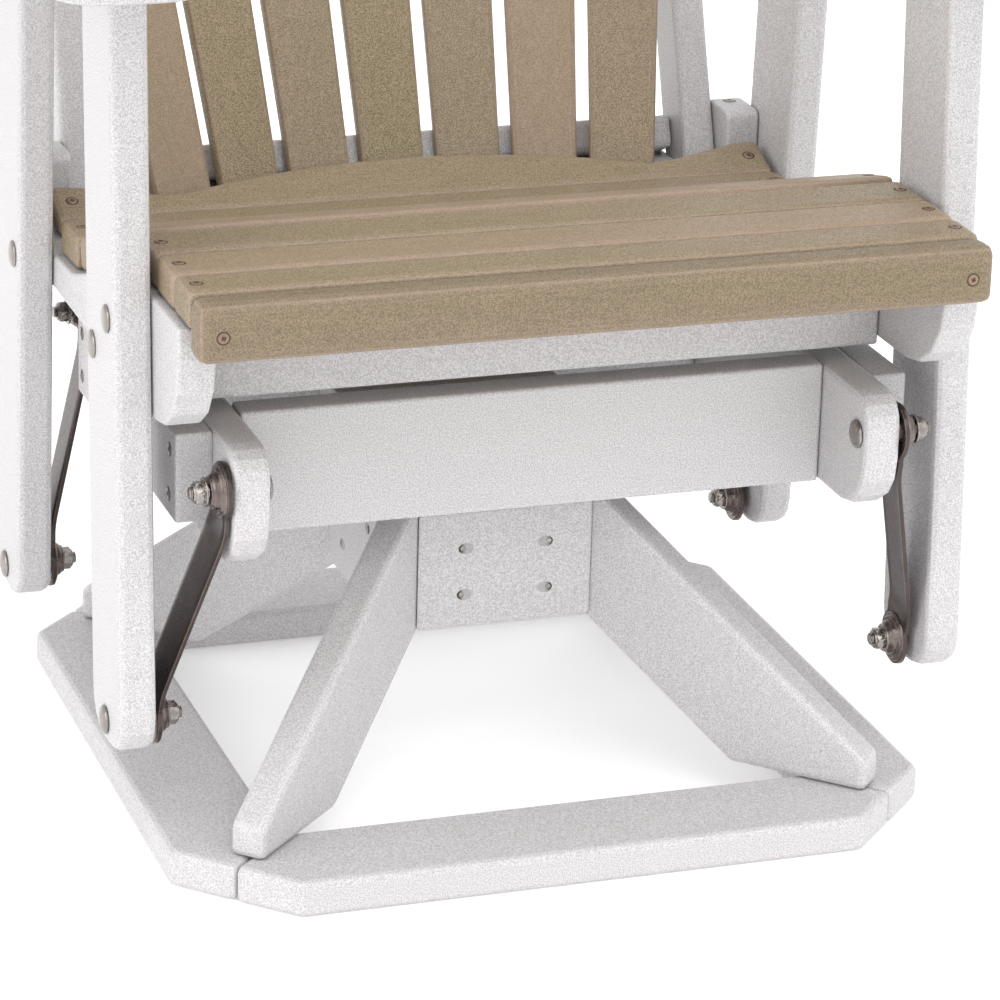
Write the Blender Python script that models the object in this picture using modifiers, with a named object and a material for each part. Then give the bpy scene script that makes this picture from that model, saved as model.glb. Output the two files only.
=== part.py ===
"""Swivel glider armchair in poly lumber: a square base with four sloping legs and a hub,
a swivel bearing, a glider frame, four swing links, and a seat that hangs from the links.

Metres, +Z up. The chair faces -Y. The parts are placed from the swivel's axis at floor
level, and the whole is then moved so that the origin is the middle of its footprint.
"""
import math

import bmesh
import bpy
from mathutils import Matrix, Vector

# General
BOARD = 0.0286            # thickness of the frame boards
GAP = 0.0003              # clearance between pieces that touch
OVERRUN = 0.01            # how far a cutter runs past what it cuts
WELD = 0.00005            # distance at which points are one
EDGE_RADIUS = 0.005       # rounding of the boards' long edges
EDGE_STEPS = 2
ARC_STEPS = 4
EDGE_ANGLE = math.radians(30)
QUARTER = math.pi / 2
EIGHTH = math.pi / 4

# Base: four mitred boards with clipped corners
BASE_HALF = 0.3048        # centre to outer edge
BASE_WIDTH = 0.0895       # width of a base board
BASE_CLIP = 0.0805        # length cut off each corner, along an edge

# Legs and hub
LEG_SETBACK = 0.0171      # base's tip to a leg's nose, along the diagonal
LEG_NOSE = 0.0254         # height of the upright nose
LEG_WIDTH = 0.0889        # width of a leg board, square to its slope
LEG_SLOPE = math.radians(37)
HUB_HALF = 0.0947         # axis to a hub board's outer face
HUB_BOTTOM = 0.1283
HUB_TOP = 0.2299

# Swivel bearing: two pressed plates with nested rings
PLATE_HALF = 0.0850
PLATE_THICKNESS = 0.0030
PLATE_CORNER = 0.0120
PLATE_BORE = 0.0320       # radius of the hole through both plates
INNER_RING = 0.0520       # middle radius of the lower plate's ring
OUTER_RING = 0.0610       # middle radius of the upper plate's ring
RING_WALL = 0.0060
RING_PLAY = 0.0003        # running clearance above and below the rings
RING_SIDES = 22

# Glider frame, on top of the swivel
RAIL_BOTTOM = 0.2512
RAIL_HEIGHT = 0.0968
RAIL_FRONT_OVERHANG = 0.0178   # front pivot to the rail's nose
RAIL_REAR_OVERHANG = 0.0183
RAIL_NOSE_RADIUS = 0.0460
RAIL_TOP_RADIUS = 0.0250
CROSS_EDGE = 0.0025       # rounding of the cross rails' and the apron's edges
CROSS_FRONT = 0.1600      # axis to the front cross rail's front face
CROSS_REAR = 0.1370       # axis to the rear cross rail's rear face
BEARER_WIDTH = 0.1900
STOP_FRONT = 0.1880       # axis to the stop board's front end
STOP_REAR = 0.1232
STOP_HEIGHT = 0.0700
STOP_DROP = 0.0025        # rail's top to the stop board's top

# Swing links and their pivots
FRONT_PIVOT = 0.2299      # axis to the front upper pivots
REAR_PIVOT = 0.2065       # axis to the rear upper pivots
UPPER_PIVOT_Z = 0.3150
LINK_LENGTH = 0.2070      # between a link's two bearings
FRONT_LINK_LEAN = math.radians(16.9)   # at rest the foot is this far behind its top
REAR_LINK_LEAN = math.radians(7.6)     # at rest the foot is this far ahead of its top
LINK_WIDTH = 0.0330       # strap's width at its waist
LINK_THICKNESS = 0.0040
LINK_JOGGLE = 0.0236      # how far outward the foot sits from the top
LINK_FLANGE = 0.0045      # depth of the strap's turned edges
EYE_THICKNESS = 0.0050    # of the strap's round ends
LINK_ROWS = 7
BEARING_RADIUS = 0.0215
BEARING_LENGTH = 0.0180
BEARING_LIP = 0.0012      # strap's side to the eye's rim
BEARING_HUB = 0.0145      # radius of a bearing's hub
BEARING_TIP = 0.0118      # and of its tip, under the nut
BEARING_TIP_LENGTH = 0.0055
BEARING_SIDES = 18
UPPER_WASHER = 0.0030     # spacer between rail and bearing
LOWER_WASHER = 0.0030     # spacer between bearing and post
OPEN_PIVOT_PLAY = 0.0028  # radial room at the feet of the rear links

# Pivot bolts
BOLT_RADIUS = 0.0048
BOLT_HEAD_RADIUS = 0.0110
BOLT_HEAD_RISE = 0.0042
WASHER_RADIUS = 0.0125
NUT_WASHER = 0.0020
NUT_RADIUS = 0.0082
NUT_LENGTH = 0.0080
BOLT_TAIL = 0.0050
BOLT_SIDES = 12
NUT_SIDES = 6

# Posts
POST_WIDTH = 0.0889
POST_LEAN = math.radians(3.1)
POST_FOOT = 0.0185        # pivot to the post's lower end
POST_CORNER = 0.0310

# Seat
SEAT_HALF = 0.3048        # middle to a seat slat's end
POST_ROOM = 0.0062        # slat's end to the post beside it
SEAT_TOP = 0.4826         # top of the front slats
SEAT_THICKNESS = 0.0286   # of the seat slats
SEAT_EDGE = 0.0055
FASCIA_FRONT = 0.3045     # axis to the fascia's front face
FASCIA_HEIGHT = 0.0450
FASCIA_DROP = 0.0010      # slat tops to the fascia's top
FASCIA_EDGE = 0.0075
FIRST_SLAT = 0.0437       # widths of the flat front slats
FRONT_SLAT = 0.0515
SLAT_SEAM = 0.0015
DIP_START = 0.1397        # axis to where the seat starts to fall, forward
DIP_END = 0.1067          # axis to the lowest line of the seat, rearward
DIP_REAR = 0.1255         # axis to the last slat's rear edge
DIP_DEPTH = 0.0622
DIP_SLATS = 4
DIP_SLAT = 0.0572         # width of the slats in the dip
DIP_LEAD = 0.0090         # room before the first slat in the dip
LUMBAR_SEAM = 0.0015
LUMBAR_THICKNESS = 0.0190
LUMBAR_PITCH = math.radians(20.8)
LUMBAR_DROP = 0.0010      # last slat's rear edge to the lumbar board's front edge
LUMBAR_DEPTH = 0.0545     # front edge to rear edge in the middle, along the board
LUMBAR_SIDE = 0.0455      # the same at the ends
LUMBAR_HOLLOW_DEPTH = 0.0255   # and at the hollows beside the slats
LUMBAR_HOLLOW_INSET = 0.1048   # board's end to the hollow of its wavy rear edge
APRON_FRONT = 0.1524      # axis to the seat's front rail
APRON_BOTTOM = 0.3575
SIDE_BOTTOM = 0.3632      # underside of the seat's side boards
SIDE_NOSE_RADIUS = 0.0660
SIDE_NOSE_SET = 0.0065    # fascia's back to the nose's front
SIDE_REAR = 0.2340        # axis to the side boards' rear ends
SIDE_REAR_TOP = 0.4560
SIDE_REAR_RADIUS = 0.0150
SIDE_BLOCK_ROOM = 0.0030  # lumbar board to the block behind it

# Back: slats that stand on a cone, between its facets' edges
RECLINE = math.radians(24)      # of the middle slat
FAN_FLARE = math.radians(18.0)  # between the slats and the cone's axis
FAN_FACETS = 52                 # slats that would go round the whole cone
BACK_SLATS = 7
BACK_SIDE_Y = 0.1733      # axis to the back's outermost edges, at BACK_Z
BACK_SIDE_ROOM = 0.0630   # the same edges to the arms, across the chair
BACK_Z = 0.4318
BACK_RISE = 0.7070        # from BACK_Z up the middle slat to its top
BACK_DROP = 0.0550        # from BACK_Z down to the slats' lower ends
BACK_THICKNESS = 0.0150
BACK_SLAT_GAP = 0.0100
BACK_ARCH = 0.0150        # how much the next slat is shorter, and so on by squares
BACK_CROWN = 0.0200       # rise of each slat's round top
BACK_EDGE = 0.0050
UPRIGHT_DEPTH = 0.0508
UPRIGHT_LEAN = math.radians(19.0)
UPRIGHT_Y = 0.2065        # axis to an upright's front edge, at BACK_Z
BACK_RAIL_TOP = 0.0150    # above BACK_Z, along the middle slat
BACK_RAIL_FRONT = 0.0125  # front edge, from the middle slat's face
BACK_RAIL_REAR = 0.0620
LEDGE_TOP = 0.4040        # level board under the rail that the slats' feet lie against
LEDGE_FRONT = 0.1600      # axis to its front edge, before it is sawn to the slats
LEDGE_REACH = 0.0475      # middle slat's face at BACK_Z to its rear edge
BRACE_RISE = 0.2250       # from BACK_Z up the middle slat to the brace's lower face
BRACE_FRONT = 0.0400      # ahead of the middle slat's face, at its ends
BRACE_REAR = 0.0500
CONE_LOW = 0.1000         # the cutting cone's ends, below and above BACK_Z
CONE_HIGH = 0.4000

# Arms
ARM_BOTTOM = 0.6950
ARM_FRONT = 0.2900        # axis to an arm's front end
ARM_REAR = 0.3520         # axis to its rear end
ARM_STEP = 0.3120         # axis to where it widens inward over the upright
ARM_LAP = 0.0280          # post's inner face to the arm's inner edge
ARM_WIDTH = 0.1200
ARM_TAIL = 0.0760         # width at the rear end
ARM_FRONT_RADIUS = 0.0400
ARM_EDGE = 0.0070
ARM_WAIST = 0.1400        # length of the taper

# Finishes: linear colour, roughness, metallic
WHITE_BOARD = ((0.70, 0.68, 0.69), 0.55, 0.0)
TAN_BOARD = ((0.36, 0.285, 0.20), 0.50, 0.0)
DARK_STEEL = ((0.085, 0.065, 0.060), 0.40, 0.9)
BOLT_STEEL = ((0.36, 0.32, 0.29), 0.30, 1.0)
PLATE_STEEL = ((0.28, 0.28, 0.29), 0.40, 1.0)

# Places that follow from the sizes above
LEG_REACH = (BASE_HALF - BASE_CLIP / 2) * math.sqrt(2) - LEG_SETBACK
POST_INNER = SEAT_HALF + POST_ROOM
POST_OUTER = POST_INNER + BOARD
LOWER_BEARING_X = POST_INNER - LOWER_WASHER - GAP - BEARING_LENGTH / 2
UPPER_BEARING_X = LOWER_BEARING_X - LINK_JOGGLE
RAIL_OUTER = UPPER_BEARING_X - BEARING_LENGTH / 2 - GAP - UPPER_WASHER
RAIL_INNER = RAIL_OUTER - BOARD
RAIL_TOP = RAIL_BOTTOM + RAIL_HEIGHT
SIDE_OUTER = POST_INNER - GAP
SIDE_INNER = SIDE_OUTER - BOARD
FRONT_FOOT_Y = -FRONT_PIVOT + LINK_LENGTH * math.sin(FRONT_LINK_LEAN)
FRONT_FOOT_Z = UPPER_PIVOT_Z - LINK_LENGTH * math.cos(FRONT_LINK_LEAN)
REAR_FOOT_Y = REAR_PIVOT - LINK_LENGTH * math.sin(REAR_LINK_LEAN)
REAR_FOOT_Z = UPPER_PIVOT_Z - LINK_LENGTH * math.cos(REAR_LINK_LEAN)
FASCIA_BACK = -FASCIA_FRONT + BOARD
SEAT_UNDER = SEAT_TOP - SEAT_THICKNESS
UPRIGHT_OUTER = SIDE_INNER - GAP
UPRIGHT_INNER = UPRIGHT_OUTER - BOARD
LUMBAR_HOLLOW = SEAT_HALF - LUMBAR_HOLLOW_INSET
ARM_INNER = POST_INNER - ARM_LAP
FAN_STEP = 4 * QUARTER / FAN_FACETS
FAN_HALF = FAN_STEP * BACK_SLATS / 2
BACK_ARC = (ARM_INNER - BACK_SIDE_ROOM) / math.sin(FAN_HALF)   # cone's radius at BACK_Z
BACK_Y = BACK_SIDE_Y + BACK_ARC * (1 - math.cos(FAN_HALF))
LEDGE_REAR = BACK_Y + LEDGE_REACH
EDGE_CUT = BACK_EDGE * (math.sin(RECLINE) + math.cos(RECLINE) - 1)   # lost to the rounded top
BACK_REACH = BACK_Y + BACK_RISE * math.sin(RECLINE) + BACK_THICKNESS * math.cos(RECLINE) - EDGE_CUT

# Turns that lay an outline's X, Y and thickness along the chair's axes
FLAT = Matrix.Identity(4)
SIDEWAYS = Matrix.Rotation(QUARTER, 4, "Z") @ Matrix.Rotation(QUARTER, 4, "X")
FACING = Matrix.Rotation(QUARTER, 4, "X")
ACROSS = Matrix.Rotation(QUARTER, 4, "Y")


def clear_scene():
    for obj in list(bpy.data.objects):
        bpy.data.objects.remove(obj, do_unlink=True)


def collection(name):
    group = bpy.data.collections.new(name)
    bpy.context.scene.collection.children.link(group)
    return group


def empty(name, place, parent=None):
    """An axis that pieces hang on. Its children keep their own places in the chair."""
    obj = bpy.data.objects.new(name, None)
    obj.location = place
    PARTS.objects.link(obj)
    if parent:
        obj.parent = parent
        bpy.context.view_layer.update()
        obj.matrix_parent_inverse = parent.matrix_world.inverted()
    bpy.context.view_layer.update()
    return obj


def paint(obj, finish):
    colour, roughness, metallic = finish
    material = bpy.data.materials.new(obj.name)
    material.use_nodes = True
    shader = material.node_tree.nodes["Principled BSDF"]
    shader.inputs["Base Color"].default_value = (*colour, 1)
    shader.inputs["Roughness"].default_value = roughness
    shader.inputs["Metallic"].default_value = metallic
    obj.data.materials.append(material)


def add_piece(name, mesh, matrix, parent, finish):
    """Links a mesh as a finished piece, placed in the chair and hung on its parent."""
    obj = bpy.data.objects.new(name, mesh)
    PARTS.objects.link(obj)
    obj.parent = parent
    obj.matrix_parent_inverse = parent.matrix_world.inverted()
    obj.matrix_basis = matrix
    paint(obj, finish)
    mesh.shade_smooth()
    mesh.set_sharp_from_angle(angle=EDGE_ANGLE)
    return obj


def add_cutter(name, mesh, matrix):
    obj = bpy.data.objects.new(name, mesh)
    CUTTERS.objects.link(obj)
    obj.matrix_basis = matrix
    obj.hide_render = True
    obj.display_type = "WIRE"
    obj.parent = CHAIR
    return obj


def round_edges(obj, radius=EDGE_RADIUS, steps=EDGE_STEPS):
    bevel = obj.modifiers.new("rounded edges", "BEVEL")
    bevel.width = radius
    bevel.segments = steps
    bevel.limit_method = "ANGLE"
    bevel.angle_limit = EDGE_ANGLE


def boolean(obj, other, operation="DIFFERENCE"):
    modifier = obj.modifiers.new(operation.lower(), "BOOLEAN")
    modifier.operation = operation
    modifier.object = other


def rounded_outline(corners, steps=ARC_STEPS):
    """Corners as (x, y, radius) become points, with an arc wherever the radius isn't zero."""
    points = []
    for index, (x, y, radius) in enumerate(corners):
        corner = Vector((x, y))
        if not radius:
            points.append(corner)
            continue
        before = (Vector(corners[index - 1][:2]) - corner).normalized()
        after = (Vector(corners[(index + 1) % len(corners)][:2]) - corner).normalized()
        half = before.angle(after) / 2
        centre = corner + (before + after).normalized() * (radius / math.sin(half))
        start = corner + before * (radius / math.tan(half)) - centre
        end = corner + after * (radius / math.tan(half)) - centre
        turns = [start.slerp(end, step / steps).normalized() for step in range(steps + 1)]
        points += [centre + turn * radius for turn in turns]
    return points


def outline_mesh(name, points, thickness):
    """A filled 2D curve with an extrude of half its thickness, welded into one mesh."""
    curve = bpy.data.curves.new(name, "CURVE")
    curve.dimensions = "2D"
    curve.fill_mode = "BOTH"
    curve.extrude = thickness / 2
    spline = curve.splines.new("POLY")
    spline.points.add(len(points) - 1)
    for point, place in zip(spline.points, points):
        point.co = (place[0], place[1], 0, 1)
    spline.use_cyclic_u = True
    obj = bpy.data.objects.new(name, curve)
    bpy.context.scene.collection.objects.link(obj)
    bpy.context.view_layer.update()
    mesh = bpy.data.meshes.new_from_object(obj.evaluated_get(bpy.context.evaluated_depsgraph_get()))
    bpy.data.objects.remove(obj)
    bpy.data.curves.remove(curve)
    bm = bmesh.new()
    bm.from_mesh(mesh)
    bmesh.ops.remove_doubles(bm, verts=bm.verts, dist=WELD)
    bmesh.ops.dissolve_limit(bm, angle_limit=math.radians(1), verts=bm.verts, edges=bm.edges)
    bmesh.ops.recalc_face_normals(bm, faces=bm.faces)
    bm.to_mesh(mesh)
    bm.free()
    mesh.name = name
    return mesh


def box_mesh(name, size):
    mesh = bpy.data.meshes.new(name)
    bm = bmesh.new()
    bmesh.ops.create_cube(bm, size=1)
    bmesh.ops.scale(bm, vec=size, verts=bm.verts)
    bm.to_mesh(mesh)
    bm.free()
    return mesh


def rod_mesh(name, radius, length, sides):
    mesh = bpy.data.meshes.new(name)
    bm = bmesh.new()
    bmesh.ops.create_cone(
        bm, cap_ends=True, segments=sides, radius1=radius, radius2=radius, depth=length
    )
    bm.to_mesh(mesh)
    bm.free()
    return mesh


def turned_mesh(name, profile, sides):
    """A profile of (radius, height), top to bottom along its outer side, turned about Z."""
    mesh = bpy.data.meshes.new(name)
    mesh.from_pydata(
        [(radius, 0, height) for radius, height in profile],
        [(index, index + 1) for index in range(len(profile) - 1)],
        [],
    )
    obj = bpy.data.objects.new(name, mesh)
    bpy.context.scene.collection.objects.link(obj)
    screw = obj.modifiers.new("turn", "SCREW")
    screw.steps = sides
    screw.render_steps = sides
    screw.use_merge_vertices = True
    screw.merge_threshold = WELD
    bpy.context.view_layer.update()
    turned = bpy.data.meshes.new_from_object(obj.evaluated_get(bpy.context.evaluated_depsgraph_get()))
    bpy.data.objects.remove(obj)
    bpy.data.meshes.remove(mesh)
    bm = bmesh.new()
    bm.from_mesh(turned)
    bmesh.ops.remove_doubles(bm, verts=bm.verts, dist=WELD)
    bmesh.ops.recalc_face_normals(bm, faces=bm.faces)
    bm.to_mesh(turned)
    bm.free()
    return turned


def board(name, size, centre, parent, finish, turn=FLAT, radius=EDGE_RADIUS):
    """A straight board with rounded edges."""
    obj = add_piece(name, box_mesh(name, size), Matrix.Translation(centre) @ turn, parent, finish)
    round_edges(obj, radius)
    return obj


def shaped(name, outline, thickness, centre, parent, finish, turn=FLAT, radius=EDGE_RADIUS):
    """A board sawn to an outline, with rounded edges."""
    mesh = outline_mesh(name, outline, thickness)
    obj = add_piece(name, mesh, Matrix.Translation(centre) @ turn, parent, finish)
    round_edges(obj, radius)
    return obj


def drill(obj, place, radius, sides=BOLT_SIDES):
    """A hole along the chair's X axis, right through a board that faces sideways."""
    length = 2 * (BOARD + OVERRUN)
    mesh = rod_mesh(obj.name + "_hole", radius, length, sides)
    boolean(obj, add_cutter(obj.name + "_hole", mesh, Matrix.Translation(place) @ ACROSS))


def base_boards():
    """Four boards mitred at the corners, whose tips are clipped off."""
    mitre = GAP / math.sqrt(2)
    inner = BASE_HALF - BASE_WIDTH
    tip = BASE_HALF - BASE_CLIP / 2
    outline = [
        (-BASE_HALF + BASE_CLIP, -BASE_HALF),
        (BASE_HALF - BASE_CLIP, -BASE_HALF),
        (tip - mitre, -tip),
        (inner - mitre, -inner),
        (-inner + mitre, -inner),
        (-tip + mitre, -tip),
    ]
    for index, side in enumerate(("front", "right", "back", "left")):
        turn = Matrix.Rotation(index * QUARTER, 4, "Z")
        shaped("base_board_" + side, outline, BOARD, (0, 0, BOARD / 2), CHAIR, WHITE_BOARD, turn)


def legs():
    """Boards on edge on the diagonals, from the base up to the hub."""
    foot = BOARD + GAP
    rise = math.tan(LEG_SLOPE)
    nose_top = foot + LEG_NOSE
    drop = LEG_WIDTH / math.cos(LEG_SLOPE)
    inner = BOARD / 2 + GAP
    outline = [
        (inner, HUB_BOTTOM),
        (LEG_REACH - (HUB_BOTTOM - nose_top + drop) / rise, HUB_BOTTOM),
        (LEG_REACH - (foot - nose_top + drop) / rise, foot),
        (LEG_REACH, foot),
        (LEG_REACH, nose_top),
        (LEG_REACH - (HUB_TOP - nose_top) / rise, HUB_TOP),
        (inner, HUB_TOP),
    ]
    names = ("leg_back_right", "leg_back_left", "leg_front_left", "leg_front_right")
    for index, name in enumerate(names):
        turn = Matrix.Rotation(EIGHTH + index * QUARTER, 4, "Z") @ FACING
        shaped(name, outline, BOARD, (0, 0, 0), CHAIR, WHITE_BOARD, turn)


def hub():
    """Boards between the legs, their ends mitred to lie against the legs' sides."""
    shy = (BOARD / 2 + GAP) * math.sqrt(2)
    inner = HUB_HALF - BOARD
    outline = [
        (-HUB_HALF + shy, -HUB_HALF),
        (HUB_HALF - shy, -HUB_HALF),
        (inner - shy, -inner),
        (-inner + shy, -inner),
    ]
    height = HUB_TOP - HUB_BOTTOM
    for index, side in enumerate(("front", "right", "back", "left")):
        turn = Matrix.Rotation(index * QUARTER, 4, "Z")
        middle = (0, 0, HUB_BOTTOM + height / 2)
        shaped("hub_board_" + side, outline, height, middle, CHAIR, WHITE_BOARD, turn)


def ring_profile(middle, bottom, top):
    inner = middle - RING_WALL / 2
    outer = middle + RING_WALL / 2
    return [(inner, top), (outer, top), (outer, bottom), (inner, bottom), (inner, top)]


def swivel_plate(name, ring_radius, plate_z, ring_bottom, ring_top, parent):
    corners = [
        (-PLATE_HALF, -PLATE_HALF, PLATE_CORNER),
        (PLATE_HALF, -PLATE_HALF, PLATE_CORNER),
        (PLATE_HALF, PLATE_HALF, PLATE_CORNER),
        (-PLATE_HALF, PLATE_HALF, PLATE_CORNER),
    ]
    mesh = outline_mesh(name, rounded_outline(corners), PLATE_THICKNESS)
    obj = add_piece(name, mesh, Matrix.Translation((0, 0, plate_z)), parent, PLATE_STEEL)
    ring = turned_mesh(name + "_ring", ring_profile(ring_radius, ring_bottom, ring_top), RING_SIDES)
    boolean(obj, add_cutter(name + "_ring", ring, FLAT), "UNION")
    bore = rod_mesh(name + "_bore", PLATE_BORE, PLATE_THICKNESS + OVERRUN, RING_SIDES)
    boolean(obj, add_cutter(name + "_bore", bore, Matrix.Translation((0, 0, plate_z))))


def swivel():
    """The bearing between hub and glider frame. Its rings nest, with room to run."""
    low = HUB_TOP + GAP + PLATE_THICKNESS / 2
    high = RAIL_BOTTOM - GAP - PLATE_THICKNESS / 2
    swivel_plate("swivel_plate_lower", INNER_RING, low, low, high - PLATE_THICKNESS / 2 - RING_PLAY, CHAIR)
    swivel_plate("swivel_plate_upper", OUTER_RING, high, low + PLATE_THICKNESS / 2 + RING_PLAY, high, FRAME)


def glider_frame():
    """Two side rails with their stop boards, two cross rails and a bearer for the swivel."""
    front = -FRONT_PIVOT - RAIL_FRONT_OVERHANG
    rear = REAR_PIVOT + RAIL_REAR_OVERHANG
    outline = rounded_outline([
        (front, RAIL_BOTTOM, RAIL_NOSE_RADIUS),
        (rear, RAIL_BOTTOM, RAIL_NOSE_RADIUS),
        (rear, RAIL_TOP, RAIL_TOP_RADIUS),
        (front, RAIL_TOP, RAIL_TOP_RADIUS),
    ])
    stop_length = STOP_FRONT + STOP_REAR
    stop_top = RAIL_TOP - STOP_DROP
    for side, name in ((-1, "left"), (1, "right")):
        middle = side * (RAIL_INNER + BOARD / 2)
        rail = shaped("side_rail_" + name, outline, BOARD, (middle, 0, 0), FRAME, WHITE_BOARD, SIDEWAYS)
        stop_mesh = box_mesh("stop_board_" + name, (BOARD + GAP, stop_length, STOP_HEIGHT))
        stop_place = (
            side * (RAIL_OUTER + (BOARD - GAP) / 2),
            (STOP_REAR - STOP_FRONT) / 2,
            stop_top - STOP_HEIGHT / 2,
        )
        stop = add_cutter("stop_board_" + name, stop_mesh, Matrix.Translation(stop_place))
        round_edges(stop, STOP_DROP)
        boolean(rail, stop, "UNION")
        for pivot in (-FRONT_PIVOT, REAR_PIVOT):
            drill(rail, (middle, pivot, UPPER_PIVOT_Z), BOLT_RADIUS + GAP)
    size = (2 * (RAIL_INNER - GAP), BOARD, RAIL_HEIGHT)
    height = RAIL_BOTTOM + RAIL_HEIGHT / 2
    for name, place in (
        ("cross_rail_front", (0, -CROSS_FRONT + BOARD / 2, height)),
        ("cross_rail_rear", (0, CROSS_REAR - BOARD / 2, height)),
    ):
        board(name, size, place, FRAME, WHITE_BOARD, FLAT, CROSS_EDGE)
    length = CROSS_FRONT + CROSS_REAR - 2 * (BOARD + GAP)
    place = (0, (CROSS_REAR - CROSS_FRONT) / 2, RAIL_BOTTOM + BOARD / 2)
    board("swivel_bearer", (BEARER_WIDTH, length, BOARD), place, FRAME, WHITE_BOARD)


def link_strap(name):
    """A pressed strap from the top eye down to the foot's: a shallow channel that joggles
    outward by a smooth step and is narrower at its waist. Its rows run along the link and
    its columns across it, the outermost turned back as flanges."""
    inset = (BEARING_LENGTH - EYE_THICKNESS) / 2
    joggle = LINK_JOGGLE + 2 * inset
    rows = LINK_ROWS
    across_shares = (-1, -0.78, 0, 0.78, 1)
    depth_shares = (1, 0, 0, 0, 1)
    mesh = bpy.data.meshes.new(name)
    bm = bmesh.new()
    bmesh.ops.create_grid(bm, x_segments=len(across_shares) - 1, y_segments=rows, size=1)
    bm.verts.ensure_lookup_table()
    columns = len(across_shares)
    for index, vertex in enumerate(bm.verts):
        column = index % columns
        share = (index // columns) / rows
        step = share * share * (3 - 2 * share)
        swell = (2 * share - 1) ** 2
        half = LINK_WIDTH / 2 + swell * (BEARING_RADIUS - BEARING_LIP - LINK_WIDTH / 2) / 2
        flange = LINK_FLANGE * depth_shares[column] * (1 - swell / 2)
        across = across_shares[column] * half
        vertex.co = (joggle * step - inset - flange, across, -LINK_LENGTH * share)
    bmesh.ops.recalc_face_normals(bm, faces=bm.faces)
    bm.to_mesh(mesh)
    bm.free()
    return mesh


def bearing_profile():
    """The strap's eye and the bearing pressed into it, which steps in towards its nut."""
    half = BEARING_LENGTH / 2
    eye = EYE_THICKNESS - half
    return [
        (0, half),
        (BEARING_TIP, half),
        (BEARING_TIP, half - BEARING_TIP_LENGTH),
        (BEARING_HUB, half - BEARING_TIP_LENGTH),
        (BEARING_HUB, eye),
        (BEARING_RADIUS, eye),
        (BEARING_RADIUS, -half),
        (0, -half),
    ]


def link(name, side, pivot_y, lean, foot_play):
    """One swing link, hung on its own upper pivot."""
    turn = Matrix.Rotation(lean, 4, "X")
    mirror = Matrix.Scale(side, 4, Vector((1, 0, 0)))
    place = Matrix.Translation((side * UPPER_BEARING_X, pivot_y, UPPER_PIVOT_Z)) @ turn
    mesh = link_strap(name)
    mesh.transform(mirror)
    if side < 0:
        mesh.flip_normals()
    obj = add_piece(name, mesh, place, FRAME, DARK_STEEL)
    solid = obj.modifiers.new("strap thickness", "SOLIDIFY")
    solid.thickness = LINK_THICKNESS
    solid.offset = 0
    foot = Vector((side * LINK_JOGGLE, 0, -LINK_LENGTH))
    ends = (("top", Vector(), side, GAP), ("foot", foot, -side, foot_play))
    for end, offset, nut_side, play in ends:
        at = place @ Matrix.Translation(offset) @ Matrix.Rotation(nut_side * QUARTER, 4, "Y")
        at = at @ Matrix.Rotation(QUARTER / BEARING_SIDES, 4, "Z")
        housing = turned_mesh(name + "_" + end, bearing_profile(), BEARING_SIDES)
        boolean(obj, add_cutter(name + "_" + end, housing, at), "UNION")
    for end, offset, nut_side, play in ends:
        at = place @ Matrix.Translation(offset) @ ACROSS
        hole = rod_mesh(name + "_bore_" + end, BOLT_RADIUS + play, BEARING_LENGTH + OVERRUN, BOLT_SIDES)
        boolean(obj, add_cutter(name + "_bore_" + end, hole, at))


def bolt(name, side, head_x, place_y, place_z, spans, parent, head_outward):
    """A domed bolt with its spacer, washer and nut. spans are the lengths from under the
    head: board, spacer and bearing."""
    grip, spacer, bearing = spans
    nut_at = grip + spacer + bearing + 3 * GAP
    tail = nut_at + NUT_WASHER + NUT_LENGTH + BOLT_TAIL
    dome = [
        (BOLT_HEAD_RADIUS * math.sin(step * EIGHTH), BOLT_HEAD_RISE * math.cos(step * EIGHTH))
        for step in range(3)
    ]
    profile = [(0, dome[0][1])] + dome[1:] + [
        (BOLT_RADIUS, 0),
        (BOLT_RADIUS, -(grip + 2 * GAP)),
        (WASHER_RADIUS, -(grip + 2 * GAP)),
        (WASHER_RADIUS, -(grip + 2 * GAP + spacer - GAP)),
        (BOLT_RADIUS, -(grip + 2 * GAP + spacer - GAP)),
        (BOLT_RADIUS, -(nut_at + GAP)),
        (WASHER_RADIUS, -(nut_at + GAP)),
        (WASHER_RADIUS, -(nut_at + NUT_WASHER)),
        (BOLT_RADIUS, -(nut_at + NUT_WASHER)),
        (BOLT_RADIUS, -tail),
        (0, -tail),
    ]
    outward = side if head_outward else -side
    turn = Matrix.Rotation(outward * QUARTER, 4, "Y")
    matrix = Matrix.Translation((head_x, place_y, place_z)) @ turn
    obj = add_piece(name, turned_mesh(name, profile, BOLT_SIDES), matrix, parent, BOLT_STEEL)
    nut = rod_mesh(name + "_nut", NUT_RADIUS, NUT_LENGTH, NUT_SIDES)
    nut_z = -(nut_at + NUT_WASHER + NUT_LENGTH / 2 - GAP)
    boolean(obj, add_cutter(name + "_nut", nut, matrix @ Matrix.Translation((0, 0, nut_z))), "UNION")


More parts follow.
